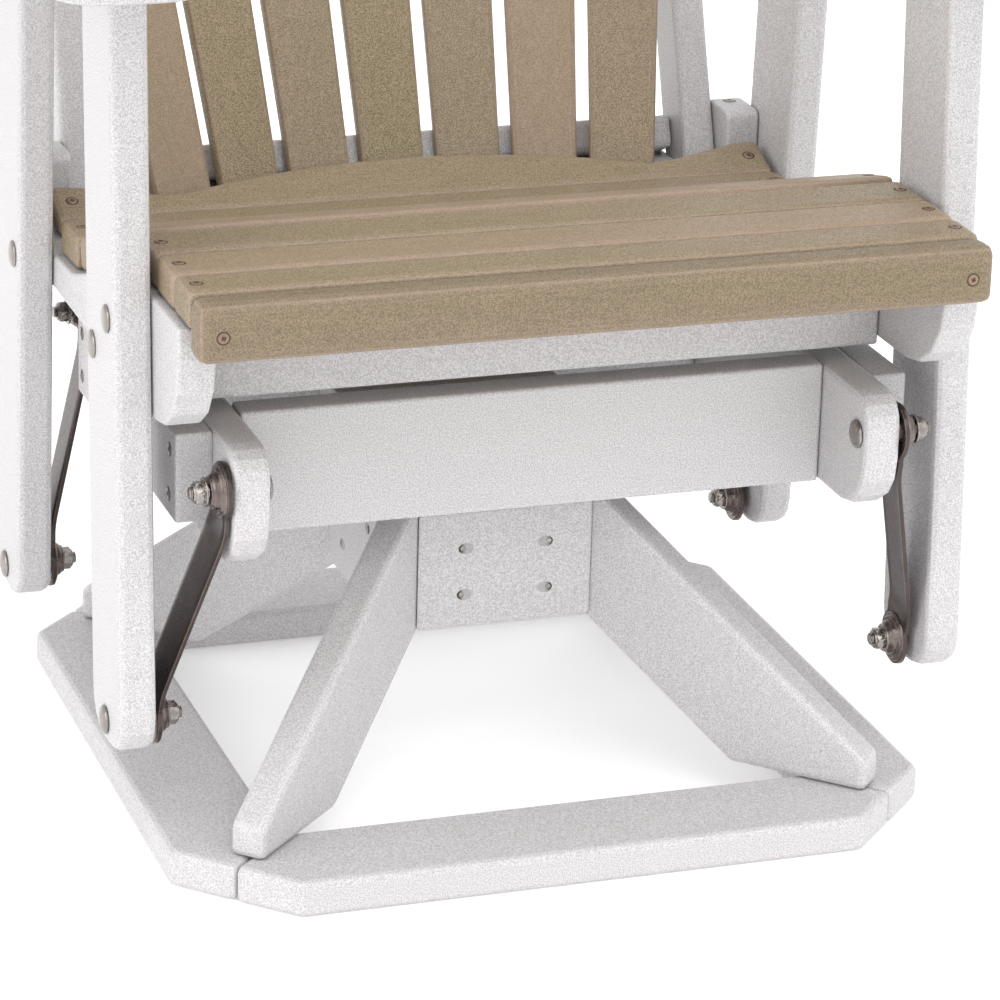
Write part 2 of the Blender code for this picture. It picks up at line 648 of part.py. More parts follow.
def running_gear():
    """Four links and the eight bolts they turn on."""
    upper_spans = (BOARD, UPPER_WASHER, BEARING_LENGTH)
    lower_spans = (BOARD, LOWER_WASHER, BEARING_LENGTH)
    for side, word in ((-1, "left"), (1, "right")):
        link("link_front_" + word, side, -FRONT_PIVOT, FRONT_LINK_LEAN, GAP)
        link("link_rear_" + word, side, REAR_PIVOT, -REAR_LINK_LEAN, OPEN_PIVOT_PLAY)
        for end, y in (("front", -FRONT_PIVOT), ("rear", REAR_PIVOT)):
            name = "upper_bolt_" + end + "_" + word
            bolt(name, side, side * (RAIL_INNER - GAP), y, UPPER_PIVOT_Z, upper_spans, FRAME, False)
        for end, y, z in (("front", FRONT_FOOT_Y, FRONT_FOOT_Z), ("rear", REAR_FOOT_Y, REAR_FOOT_Z)):
            name = "lower_bolt_" + end + "_" + word
            bolt(name, side, side * (POST_OUTER + GAP), y, z, lower_spans, SEAT, True)


def seat_height(y):
    """Height of the seat's top: flat in front, then a half cosine down into the dip."""
    share = min(max((y + DIP_START) / (DIP_START + DIP_END), 0), 1)
    return SEAT_TOP - DIP_DEPTH * (1 - math.cos(math.pi * share)) / 2


def seat_slats():
    """Top front and top rear edges of every seat slat, as pairs of (y, z), front to back."""
    slats = []
    y = FASCIA_BACK + GAP
    for width in (FIRST_SLAT, FRONT_SLAT, FRONT_SLAT):
        slats.append(((y, SEAT_TOP), (y + width, SEAT_TOP)))
        y += width + SLAT_SEAM
    y += DIP_LEAD - SLAT_SEAM
    pitch = (DIP_REAR - y - DIP_SLAT) / (DIP_SLATS - 1)
    for index in range(DIP_SLATS):
        middle = y + DIP_SLAT / 2 + index * pitch
        fall = (seat_height(middle + SLAT_SEAM) - seat_height(middle - SLAT_SEAM)) / (2 * SLAT_SEAM)
        run = Vector((1, fall)).normalized() * (DIP_SLAT / 2)
        centre = Vector((middle, seat_height(middle)))
        slats.append((tuple(centre - run), tuple(centre + run)))
    return slats


def underside(front, rear, clearance=0):
    """The lower edges of a slat whose upper edges are given."""
    along = (Vector(rear) - Vector(front)).normalized()
    down = Vector((along.y, -along.x)) * (SEAT_THICKNESS + clearance)
    return Vector(front) + down, Vector(rear) + down


def lumbar_frame(slats):
    """Where the lumbar board's upper front edge starts, and the way it runs back."""
    rear = slats[-1][1]
    start = Vector((rear[0] + LUMBAR_SEAM, rear[1] - LUMBAR_DROP))
    run = Vector((math.cos(LUMBAR_PITCH), math.sin(LUMBAR_PITCH)))
    return start, run


def seat():
    """Slats on two shaped side boards, with a fascia, an apron and the lumbar board."""
    slats = seat_slats()
    fascia_z = SEAT_TOP - FASCIA_DROP - FASCIA_HEIGHT / 2
    fascia = (2 * SEAT_HALF, BOARD, FASCIA_HEIGHT)
    board("seat_fascia", fascia, (0, FASCIA_BACK - BOARD / 2, fascia_z), SEAT, TAN_BOARD, FLAT, FASCIA_EDGE)
    for index, (front, rear) in enumerate(slats):
        run = Vector(rear) - Vector(front)
        low_rear = underside(front, rear)[1]
        middle = (Vector(front) + low_rear) / 2
        turn = Matrix.Rotation(math.atan2(run.y, run.x), 4, "X")
        size = (2 * SEAT_HALF, run.length, SEAT_THICKNESS)
        place = (0, middle.x, middle.y)
        board("seat_slat_" + str(index + 1), size, place, SEAT, TAN_BOARD, turn, SEAT_EDGE)
    start, run = lumbar_frame(slats)
    lumbar_board(start)
    side_boards(slats, start, run)
    height = SEAT_UNDER - GAP - APRON_BOTTOM
    place = (0, -APRON_FRONT + BOARD / 2, APRON_BOTTOM + height / 2)
    size = (2 * (SIDE_INNER - GAP), BOARD, height)
    board("seat_apron", size, place, SEAT, WHITE_BOARD, FLAT, CROSS_EDGE)


def lumbar_board(start):
    """The board that closes the seat at the back, its rear edge cut in one wave: a crest
    in the middle and a hollow on each side."""
    steps = 24
    edge = []
    for step in range(steps + 1):
        x = SEAT_HALF * (1 - 2 * step / steps)
        near = min(abs(x) / LUMBAR_HOLLOW, 1)
        crest = (LUMBAR_DEPTH - LUMBAR_HOLLOW_DEPTH) * (1 - near * near)
        far = max(abs(x) - LUMBAR_HOLLOW, 0) / (SEAT_HALF - LUMBAR_HOLLOW)
        lift = (LUMBAR_SIDE - LUMBAR_HOLLOW_DEPTH) * (1 - math.cos(math.pi * far)) / 2
        edge.append((x, LUMBAR_HOLLOW_DEPTH + crest + lift))
    outline = [(-SEAT_HALF, 0), (SEAT_HALF, 0)] + edge
    turn = Matrix.Rotation(LUMBAR_PITCH, 4, "X") @ Matrix.Translation((0, 0, -LUMBAR_THICKNESS / 2))
    place = (0, start.x, start.y)
    shaped("lumbar_board", outline, LUMBAR_THICKNESS, place, SEAT, TAN_BOARD, turn, SEAT_EDGE)


def side_boards(slats, start, run):
    """Boards on edge under the slats: a round nose in front, the slats' line on top, and
    a block behind the lumbar board."""
    down = Vector((run.y, -run.x)) * (LUMBAR_THICKNESS + GAP)
    lumbar_rear = start + down + run * LUMBAR_SIDE
    block = lumbar_rear.x + SIDE_BLOCK_ROOM
    under_end = start + down + run * ((block - (start + down).x) / run.x)
    nose = FASCIA_BACK + GAP + SIDE_NOSE_SET
    corners = [
        (nose, SIDE_BOTTOM, SIDE_NOSE_RADIUS),
        (SIDE_REAR, SIDE_BOTTOM, SIDE_REAR_RADIUS),
        (SIDE_REAR, SIDE_REAR_TOP, SIDE_REAR_RADIUS),
        (block, SIDE_REAR_TOP, SIDE_REAR_RADIUS / 2),
        (under_end.x, under_end.y, 0),
        ((start + down).x, (start + down).y, 0),
    ]
    for front, rear in reversed(slats):
        low_front, low_rear = underside(front, rear, GAP)
        corners += [(low_rear.x, low_rear.y, 0), (max(low_front.x, nose), low_front.y, 0)]
    outline = rounded_outline(corners)
    for side, word in ((-1, "left"), (1, "right")):
        middle = (side * (SIDE_INNER + BOARD / 2), 0, 0)
        shaped("seat_side_" + word, outline, BOARD, middle, SEAT, WHITE_BOARD, SIDEWAYS, EDGE_RADIUS / 2)


def post(name, side, foot_y, foot_z, lean):
    """A leaning post, round at its foot and cut level under the arm."""
    half = POST_WIDTH / 2
    height = (ARM_BOTTOM - GAP - foot_z) / math.cos(lean)
    skew = half * math.tan(lean)
    outline = rounded_outline([
        (-half, -POST_FOOT, POST_CORNER),
        (half, -POST_FOOT, POST_CORNER),
        (half, height + skew, 0),
        (-half, height - skew, 0),
    ])
    turn = SIDEWAYS @ Matrix.Rotation(-lean, 4, "Z")
    middle = (side * (POST_INNER + BOARD / 2), foot_y, foot_z)
    obj = shaped(name, outline, BOARD, middle, SEAT, WHITE_BOARD, turn)
    drill(obj, middle, BOLT_RADIUS + GAP)


def posts():
    for side, word in ((-1, "left"), (1, "right")):
        post("post_front_" + word, side, FRONT_FOOT_Y, FRONT_FOOT_Z, POST_LEAN)
        post("post_rear_" + word, side, REAR_FOOT_Y, REAR_FOOT_Z, -POST_LEAN)


def arms():
    """Broad arms with rounded fronts, tapered behind. They rest on the posts, pass the
    back's outer slats and widen inward over the uprights."""
    for side, word in ((-1, "left"), (1, "right")):
        outer = side * (ARM_INNER + ARM_WIDTH)
        inner = side * ARM_INNER
        tail = side * UPRIGHT_INNER
        outline = rounded_outline([
            (inner, -ARM_FRONT, ARM_FRONT_RADIUS),
            (outer, -ARM_FRONT, ARM_FRONT_RADIUS),
            (outer, ARM_REAR - ARM_WAIST, ARM_FRONT_RADIUS),
            (tail + side * ARM_TAIL, ARM_REAR, ARM_FRONT_RADIUS / 2),
            (tail, ARM_REAR, ARM_EDGE),
            (tail, ARM_STEP, 0),
            (inner, ARM_STEP, 0),
        ])
        place = (0, 0, ARM_BOTTOM + BOARD / 2)
        shaped("arm_" + word, outline, BOARD, place, SEAT, WHITE_BOARD, FLAT, ARM_EDGE)


def fan_frame():
    """X across, Y away from the cone's axis and Z along that axis, at the middle slat."""
    return Matrix.Translation((0, BACK_Y, BACK_Z)) @ Matrix.Rotation(FAN_FLARE - RECLINE, 4, "X")


def back_slats():
    """Slats on the cone's facets, so each is wider towards its round top. The tops follow
    an arch."""
    count = BACK_SLATS // 2
    widen = 2 * math.tan(FAN_STEP / 2)
    foot = widen * (BACK_ARC - BACK_DROP * math.sin(FAN_FLARE)) - BACK_SLAT_GAP
    for index in range(-count, count + 1):
        rise = BACK_RISE - BACK_ARCH * index * index
        head = widen * (BACK_ARC + rise * math.sin(FAN_FLARE)) - BACK_SLAT_GAP
        crown = []
        for step in range(2 * ARC_STEPS + 1):
            turn = math.pi * step / (2 * ARC_STEPS)
            crown.append((head / 2 * math.cos(turn), rise - BACK_CROWN * (1 - math.sin(turn))))
        outline = [(-foot / 2, -BACK_DROP), (foot / 2, -BACK_DROP)] + crown
        stand = (
            fan_frame()
            @ Matrix.Translation((0, -BACK_ARC, 0))
            @ Matrix.Rotation(-index * FAN_STEP, 4, "Z")
            @ Matrix.Translation((0, BACK_ARC, 0))
            @ Matrix.Rotation(-FAN_FLARE, 4, "X")
            @ Matrix.Translation((0, BACK_THICKNESS / 2, 0))
            @ FACING
        )
        name = "back_slat_" + str(index + count + 1)
        mesh = outline_mesh(name, outline, BACK_THICKNESS)
        round_edges(add_piece(name, mesh, stand, SEAT, TAN_BOARD), BACK_EDGE)


def cut_to_fan(obj):
    """Saws a rail's front to the cone on which the slats' backs lie."""
    seat_face = BACK_ARC + (BACK_THICKNESS + GAP) / math.cos(FAN_FLARE)
    corner = math.cos(FAN_STEP / 2)
    low = (seat_face - CONE_LOW * math.tan(FAN_FLARE)) / corner
    high = (seat_face + CONE_HIGH * math.tan(FAN_FLARE)) / corner
    mesh = bpy.data.meshes.new(obj.name + "_cone")
    bm = bmesh.new()
    bmesh.ops.create_cone(
        bm, cap_ends=True, segments=FAN_FACETS, radius1=low, radius2=high, depth=CONE_LOW + CONE_HIGH
    )
    bm.to_mesh(mesh)
    bm.free()
    middle = Matrix.Translation((0, -BACK_ARC, (CONE_HIGH - CONE_LOW) / 2))
    facet = Matrix.Rotation(FAN_STEP / 2, 4, "Z")
    boolean(obj, add_cutter(obj.name + "_cone", mesh, fan_frame() @ middle @ facet))


def back_rails():
    """Two boards square to the slats, between the uprights: the rail behind the slats'
    feet, with a level ledge under it, and the brace near the arms."""
    end = UPRIGHT_INNER - GAP
    square = fan_frame() @ Matrix.Rotation(-FAN_FLARE, 4, "X")
    for name, front, rear, height in (
        ("back_rail", BACK_RAIL_FRONT, BACK_RAIL_REAR, BACK_RAIL_TOP - BOARD / 2),
        ("back_brace", -BRACE_FRONT, BRACE_REAR, BRACE_RISE + BOARD / 2),
    ):
        mesh = box_mesh(name, (2 * end, rear - front, BOARD))
        place = square @ Matrix.Translation((0, (front + rear) / 2, height))
        obj = add_piece(name, mesh, place, SEAT, WHITE_BOARD)
        round_edges(obj)
        if name == "back_rail":
            ledge = box_mesh("ledge", (2 * end - GAP, LEDGE_REAR - LEDGE_FRONT, BOARD))
            middle = (0, (LEDGE_FRONT + LEDGE_REAR) / 2, LEDGE_TOP - BOARD / 2)
            boolean(obj, add_cutter("ledge", ledge, Matrix.Translation(middle)), "UNION")
        cut_to_fan(obj)


def uprights():
    """Leaning uprights inside the side boards, cut level at both ends, up to the arms."""
    for side, word in ((-1, "left"), (1, "right")):
        low = (SIDE_BOTTOM - BACK_Z) / math.cos(UPRIGHT_LEAN)
        high = (ARM_BOTTOM - GAP - BACK_Z) / math.cos(UPRIGHT_LEAN)
        skew = UPRIGHT_DEPTH * math.tan(UPRIGHT_LEAN)
        outline = [(0, low), (UPRIGHT_DEPTH, low + skew), (UPRIGHT_DEPTH, high + skew), (0, high)]
        turn = SIDEWAYS @ Matrix.Rotation(-UPRIGHT_LEAN, 4, "Z")
        place = (side * (UPRIGHT_INNER + BOARD / 2), UPRIGHT_Y, BACK_Z)
        shaped("upright_" + word, outline, BOARD, place, SEAT, WHITE_BOARD, turn)


def main():
    base_boards()
    legs()
    hub()
    swivel()
    glider_frame()
    running_gear()
    seat()
    posts()
    arms()
    uprights()
    back_rails()
    back_slats()
    CHAIR.location.y = (BASE_HALF - BACK_REACH) / 2


clear_scene()
PARTS = collection("glider_chair")
CUTTERS = collection("cutters")
CHAIR = empty("chair", (0, 0, 0))
FRAME = empty("swivel_axis", (0, 0, 0), CHAIR)
SEAT = empty("front_foot_axis", (0, FRONT_FOOT_Y, FRONT_FOOT_Z), FRAME)
main()
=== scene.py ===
import math

import bmesh
import bpy
import numpy as np
from mathutils import Matrix, Vector
from mathutils.bvhtree import BVHTree


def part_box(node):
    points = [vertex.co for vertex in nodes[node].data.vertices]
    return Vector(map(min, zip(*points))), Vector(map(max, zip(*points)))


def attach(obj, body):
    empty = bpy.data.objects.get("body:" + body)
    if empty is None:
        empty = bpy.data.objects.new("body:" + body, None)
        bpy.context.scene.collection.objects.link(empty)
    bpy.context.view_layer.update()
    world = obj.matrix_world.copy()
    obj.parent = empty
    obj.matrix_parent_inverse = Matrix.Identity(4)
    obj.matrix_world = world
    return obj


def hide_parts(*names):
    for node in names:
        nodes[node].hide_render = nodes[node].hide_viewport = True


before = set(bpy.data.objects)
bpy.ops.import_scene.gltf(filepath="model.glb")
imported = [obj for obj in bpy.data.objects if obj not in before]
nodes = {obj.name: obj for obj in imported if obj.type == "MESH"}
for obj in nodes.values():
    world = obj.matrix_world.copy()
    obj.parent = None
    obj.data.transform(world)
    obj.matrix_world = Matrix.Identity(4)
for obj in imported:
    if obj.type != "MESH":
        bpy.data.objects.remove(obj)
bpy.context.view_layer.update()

# The camera stands a little to the sitter's right, aims at the base and leans by its roll.
camera = {
    "azimuth": -18.7,
    "elevation": 18.93,
    "roll": 1.53,
    "distance": 3.4206,
    "aimHeight": 0.3010,
    "sensor": 36,
    "lens": 154.8,
    "shiftX": 0.0285,
    "shiftY": -0.12,
}

swivelY = (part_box("base_board_left")[0].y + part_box("base_board_left")[1].y) / 2


def addObject(name, data):
    obj = bpy.data.objects.new(name, data)
    bpy.context.scene.collection.objects.link(obj)
    return obj


def makeCamera(settings):
    azimuth, elevation = math.radians(settings["azimuth"]), math.radians(settings["elevation"])
    back = Vector((
        math.sin(azimuth) * math.cos(elevation),
        -math.cos(azimuth) * math.cos(elevation),
        math.sin(elevation),
    ))
    data = bpy.data.cameras.new("camera")
    data.sensor_width = settings["sensor"]
    data.lens = settings["lens"]
    data.shift_x, data.shift_y = settings["shiftX"], settings["shiftY"]
    obj = addObject("camera", data)
    aim = Vector((0, swivelY, settings["aimHeight"]))
    turn = (-back).to_track_quat("-Z", "Y").to_matrix().to_4x4()
    roll = Matrix.Rotation(math.radians(settings["roll"]), 4, "Z")
    obj.matrix_world = Matrix.Translation(aim + back * settings["distance"]) @ turn @ roll
    bpy.context.scene.camera = obj


makeCamera(camera)
print("camera: done")

# Floor and soft studio light
studio = {
    "floorColour": (0.97, 0.97, 0.97),
    "floorSize": 14.0,
    "floorGlow": 0.22,
    "floorRoughness": 0.85,
    "world": (1.0, 1.0, 1.0),
    "worldStrength": 1.02,
    "viewTransform": "Standard",
    # name: azimuth and elevation that it comes from, spread, strength, colour
    "lamps": {
        "leftLamp": (-85, 20, 40, 0.85, (1.0, 0.995, 0.99)),
        "frontLamp": (-20, 25, 40, 0.20, (1.0, 1.0, 1.0)),
        "highLamp": (0, 60, 40, 0.75, (1.0, 1.0, 1.0)),
        "rightLamp": (45, 25, 40, 0.30, (0.98, 0.99, 1.0)),
    },
}


def makeWorld(settings):
    world = bpy.data.worlds.new("studio")
    world.use_nodes = True
    background = world.node_tree.nodes["Background"]
    background.inputs["Color"].default_value = (*settings["world"], 1)
    background.inputs["Strength"].default_value = settings["worldStrength"]
    bpy.context.scene.world = world
    bpy.context.scene.view_settings.view_transform = settings["viewTransform"]


def makeFloor(settings):
    half = settings["floorSize"] / 2
    mesh = bpy.data.meshes.new("floor")
    corners = [(-half, -half, 0), (half, -half, 0), (half, half, 0), (-half, half, 0)]
    mesh.from_pydata(corners, [], [(0, 1, 2, 3)])
    floor = addObject("floor", mesh)
    material = bpy.data.materials.new("pale floor")
    material.use_nodes = True
    shader = material.node_tree.nodes["Principled BSDF"]
    shader.inputs["Base Color"].default_value = (*settings["floorColour"], 1)
    shader.inputs["Roughness"].default_value = settings["floorRoughness"]
    shader.inputs["Emission Color"].default_value = (1, 1, 1, 1)
    shader.inputs["Emission Strength"].default_value = settings["floorGlow"]
    mesh.materials.append(material)


def makeLamps(settings):
    for name, (azimuth, elevation, spreadAngle, strength, colour) in settings["lamps"].items():
        light = bpy.data.lights.new(name, "SUN")
        light.angle = math.radians(spreadAngle)
        light.energy = strength
        light.color = colour
        lamp = addObject(name, light)
        heading = Matrix.Rotation(math.radians(azimuth), 3, "Z")
        turn = heading @ Matrix.Rotation(math.radians(90 - elevation), 3, "X")
        lamp.rotation_mode = "QUATERNION"
        lamp.rotation_quaternion = turn.to_quaternion()


makeWorld(studio)
makeFloor(studio)
makeLamps(studio)
print("studio: done")


# Helpers for shader nodes. A value is either a number, a tuple or another node's socket.
def fill(tree, socket, value):
    if isinstance(value, bpy.types.NodeSocket):
        tree.links.new(value, socket)
    else:
        socket.default_value = value


def addNode(tree, kind, values=None, **settings):
    node = tree.nodes.new("ShaderNode" + kind)
    for key, value in settings.items():
        setattr(node, key, value)
    for key, value in (values or {}).items():
        fill(tree, node.inputs[key], value)
    return node


def useGroup(tree, group, values):
    return addNode(tree, "Group", values, node_tree=group)


def calculate(tree, operation, first, second=0.0, clamp=False):
    node = addNode(tree, "Math", {0: first, 1: second}, operation=operation, use_clamp=clamp)
    return node.outputs[0]


def spread(tree, value, low, high, newLow=0.0, newHigh=1.0):
    values = {"Value": value, "From Min": low, "From Max": high, "To Min": newLow, "To Max": newHigh}
    return addNode(tree, "MapRange", values).outputs["Result"]


def noise(tree, vector, scale, detail, roughness=0.5):
    values = {"Vector": vector, "Scale": scale, "Detail": detail, "Roughness": roughness}
    return addNode(tree, "TexNoise", values).outputs["Fac"]


def blendColours(tree, share, first, second):
    node = addNode(tree, "Mix", {0: share}, data_type="RGBA")
    for index, colour in ((6, first), (7, second)):
        fill(tree, node.inputs[index], (*colour, 1) if isinstance(colour, tuple) else colour)
    return node.outputs[2]


def blendBy(tree, mask, share, first, second):
    return blendColours(tree, calculate(tree, "MULTIPLY", mask, share), first, second)


def shaded(tree, colour, shade):
    return addNode(tree, "VectorMath", {0: colour, "Scale": shade}, operation="SCALE").outputs[0]


def startMaterial(name):
    material = bpy.data.materials.new(name)
    material.use_nodes = True
    tree = material.node_tree
    shader = tree.nodes["Principled BSDF"]
    where = tree.nodes.new("ShaderNodeTexCoord").outputs["Object"]
    return material, tree, shader, where


# Shader node groups, used by several finishes
def newGroup(name, inputs, outputs):
    tree = bpy.data.node_groups.new(name, "ShaderNodeTree")
    for label, kind, value in inputs:
        socket = tree.interface.new_socket(label, in_out="INPUT", socket_type="NodeSocket" + kind)
        if value is not None:
            socket.default_value = value
    for label, kind in outputs:
        tree.interface.new_socket(label, in_out="OUTPUT", socket_type="NodeSocket" + kind)
    return tree, tree.nodes.new("NodeGroupInput"), tree.nodes.new("NodeGroupOutput")


noiseRange = (0.3, 0.7)  # the range of noise that most masks are stretched from

# Noises as scale, detail and roughness, and the ranges of two masks
grain = {
    "fine": (960.0, 1.0, 0.5), "speckleRange": (0.45, 0.57),
    "streak": (260.0, 4.0, 0.62), "streakRange": (0.36, 0.66),
    "broad": (14.0, 3.0, 0.5), "coarse": (240.0, 2.0, 0.55), "swell": 0.35,
}


def makeBoardGrain(settings):
    # Pressed poly lumber: fine pits all over, short streaks along the board, broad soft patches.
    inputs = [("Vector", "Vector", None), ("Stretch", "Vector", (1, 1, 1)), ("Pits", "Float", 1.0)]
    outputs = [("Speckle", "Float"), ("Streaks", "Float"), ("Patches", "Float"), ("Height", "Float")]
    tree, given, result = newGroup("boardGrain", inputs, outputs)
    place = given.outputs["Vector"]
    factors = {0: place, 1: given.outputs["Stretch"]}
    stretched = addNode(tree, "VectorMath", factors, operation="MULTIPLY").outputs[0]
    fine = noise(tree, place, *settings["fine"])
    speckle = spread(tree, fine, *settings["speckleRange"])
    streaks = spread(tree, noise(tree, stretched, *settings["streak"]), *settings["streakRange"])
    patches = spread(tree, noise(tree, stretched, *settings["broad"]), *noiseRange)
    pits = calculate(tree, "MULTIPLY", fine, given.outputs["Pits"])
    swell = calculate(tree, "MULTIPLY", noise(tree, place, *settings["coarse"]), settings["swell"])
    height = calculate(tree, "ADD", pits, swell)
    for (label, kind), value in zip(outputs, (speckle, streaks, patches, height)):
        tree.links.new(value, result.inputs[label])
    return tree


# turnRange: how alike the wide bevel's normal and the true one are on flats and on edges
edgeHighlightSettings = {"samples": 6, "turnRange": (0.992, 0.86), "breaks": (90.0, 3.0), "breakRange": (0.35, 0.65)}


def makeEdgeHighlight(settings):
    # How far the softened normal turns from the true one marks the edges: 0 on flats, 1 on edges. The
    # mask places a painted highlight on the edges.
    inputs = [
        ("Vector", "Vector", None), ("Radius", "Float", 0.004),
        ("Spread", "Float", 1.0), ("Breakup", "Float", 0.5),
    ]
    tree, given, result = newGroup("edgeHighlight", inputs, [("Edge", "Float"), ("Normal", "Vector")])
    soft = addNode(tree, "Bevel", {"Radius": given.outputs["Radius"]}, samples=settings["samples"])
    reach = calculate(tree, "MULTIPLY", given.outputs["Radius"], given.outputs["Spread"])
    wide = addNode(tree, "Bevel", {"Radius": reach}, samples=settings["samples"])
    flat = addNode(tree, "NewGeometry")
    normals = {0: wide.outputs["Normal"], 1: flat.outputs["True Normal"]}
    likeness = addNode(tree, "VectorMath", normals, operation="DOT_PRODUCT")
    raw = spread(tree, likeness.outputs["Value"], *settings["turnRange"])
    breaks = noise(tree, given.outputs["Vector"], *settings["breaks"])
    broken = spread(tree, breaks, *settings["breakRange"])
    kept = addNode(tree, "Mix", {0: given.outputs["Breakup"], 2: 1.0, 3: broken}, data_type="FLOAT")
    edge = calculate(tree, "MULTIPLY", raw, kept.outputs[0], clamp=True)
    tree.links.new(edge, result.inputs["Edge"])
    tree.links.new(soft.outputs["Normal"], result.inputs["Normal"])
    return tree


seamShadeSettings = {"samples": 6, "openRange": (0.74, 0.36)}


def makeSeamShade(settings):
    # Where nearby surfaces close a point in: 0 in the open, 1 in the seam between two boards. The mask
    # places painted shade in the seams.
    inputs = [("Distance", "Float", 0.006)]
    tree, given, result = newGroup("seamShade", inputs, [("Seam", "Float")])
    distance = {"Distance": given.outputs["Distance"]}
    openness = addNode(tree, "AmbientOcclusion", distance, samples=settings["samples"])
    seam = spread(tree, openness.outputs["AO"], *settings["openRange"])
    tree.links.new(seam, result.inputs["Seam"])
    return tree


boardGrain = makeBoardGrain(grain)
edgeHighlight = makeEdgeHighlight(edgeHighlightSettings)
seamShade = makeSeamShade(seamShadeSettings)

# Poly lumber in two colours. The shares say how much of each tint shows. The edge tint is a painted
# highlight and the seam tint is painted shade.
boardFinishes = {
    "white": {
        "colour": (0.668, 0.651, 0.660),
        "dark": (0.340, 0.328, 0.334),
        "patch": (0.680, 0.664, 0.674),
        "edge": (0.840, 0.830, 0.840),
        "seam": (0.300, 0.290, 0.290),
        "seamShadeShare": 0.28,
        "edgeRadius": 0.0024,
        "edgeSpread": 2.0,
        "speckleShare": 0.62,
        "streakShare": 0.06,
        "patchShare": 0.25,
        "edgeHighlightShare": 0.55,
        "rough": (0.34, 0.55),
        "bump": 0.42,
    },
    "tan": {
        "colour": (0.362, 0.275, 0.186),
        "dark": (0.108, 0.084, 0.044),
        "patch": (0.318, 0.262, 0.152),
        "edge": (0.500, 0.360, 0.295),
        "seam": (0.060, 0.058, 0.022),
        "seamShadeShare": 0.95,
        "edgeRadius": 0.0030,
        "edgeSpread": 2.6,
        "speckleShare": 0.60,
        "streakShare": 0.20,
        "patchShare": 0.50,
        "edgeHighlightShare": 0.85,
        "rough": (0.32, 0.52),
        "bump": 0.40,
    },
}
# Both colours' surface
boardSurface = {"pits": 1.2, "breakup": 0.35, "seamShadeDistance": 0.005, "relief": 0.0010, "specular": 0.45}
# The grain is stretched along the board's length
stretches = {"x": (0.10, 1, 1), "y": (1, 0.10, 1), "z": (1, 1, 0.10)}
# Boards of one colour differ a little: share of each colour, and of the speckle
tones = {
    "plain": ((1.0, 1.0, 1.0), 1.0),
    "olive": ((0.99, 1.00, 0.92), 1.15),
    "rosy": ((1.07, 1.03, 1.07), 0.70),
    # The fascia's darker tone below is painted shade on its front face.
    "shadedFront": ((0.78, 0.77, 0.75), 0.95),
}
boardTones = {
    "back_slat_2": "olive", "back_slat_4": "olive", "back_slat_6": "rosy", "back_slat_1": "rosy",
    "seat_fascia": "shadedFront", "seat_slat_2": "rosy", "seat_slat_4": "rosy", "seat_slat_6": "rosy",
}


def boardMaterial(finish, along, tone):
    settings = boardFinishes[finish]
    shares, speckleTone = tones[tone]
    shade = {key: tuple(np.multiply(settings[key], shares)) for key in ("colour", "dark", "patch")}
    material, tree, shader, where = startMaterial("_".join((finish + "Board", along, tone)))
    pressed = useGroup(tree, boardGrain, {
        "Vector": where, "Stretch": stretches[along], "Pits": boardSurface["pits"],
    })
    edgeLit = useGroup(tree, edgeHighlight, {
        "Vector": where, "Radius": settings["edgeRadius"], "Spread": settings["edgeSpread"],
        "Breakup": boardSurface["breakup"],
    })
    closed = useGroup(tree, seamShade, {"Distance": boardSurface["seamShadeDistance"]})
    speckleShare = settings["speckleShare"] * speckleTone
    colour = blendBy(
        tree, pressed.outputs["Patches"], settings["patchShare"], shade["colour"], shade["patch"]
    )
    colour = blendBy(tree, pressed.outputs["Streaks"], settings["streakShare"], colour, shade["dark"])
    colour = blendBy(tree, pressed.outputs["Speckle"], speckleShare, colour, shade["dark"])
    # Lighter colour on the edges: painted highlight.
    colour = blendBy(tree, edgeLit.outputs["Edge"], settings["edgeHighlightShare"], colour, settings["edge"])
    # Dark colour where the seams close in: painted shade between the boards.
    colour = blendBy(tree, closed.outputs["Seam"], settings["seamShadeShare"], colour, settings["seam"])
    tree.links.new(colour, shader.inputs["Base Color"])
    roughness = spread(tree, pressed.outputs["Speckle"], 0, 1, *settings["rough"])
    tree.links.new(roughness, shader.inputs["Roughness"])
    bump = addNode(tree, "Bump", {
        "Height": pressed.outputs["Height"], "Normal": edgeLit.outputs["Normal"],
        "Strength": settings["bump"], "Distance": boardSurface["relief"],
    })
    tree.links.new(bump.outputs["Normal"], shader.inputs["Normal"])
    shader.inputs["Specular IOR Level"].default_value = boardSurface["specular"]
    return material


# Which way each board runs, by the start of its name
boardAxes = {
    "x": ("base_board_front", "base_board_back", "hub_board_front", "hub_board_back", "cross_rail",
          "seat_fascia", "seat_slat", "seat_apron", "lumbar_board", "back_rail", "back_brace"),
    "y": ("base_board_left", "base_board_right", "hub_board_left", "hub_board_right", "side_rail",
          "swivel_bearer", "seat_side", "arm_"),
    "z": ("post_", "upright_", "back_slat", "leg_"),
}
tanNodes = ("seat_fascia", "seat_slat", "lumbar_board", "back_slat")
boardMaterials = {}
for name, obj in nodes.items():
    for along, starts in boardAxes.items():
        if name.startswith(starts):
            finish = "tan" if name.startswith(tanNodes) else "white"
            kind = (finish, along, boardTones.get(name, "plain"))
            if kind not in boardMaterials:
                boardMaterials[kind] = boardMaterial(*kind)
            for slot in obj.material_slots:
                slot.material = boardMaterials[kind]
print("boards: done")
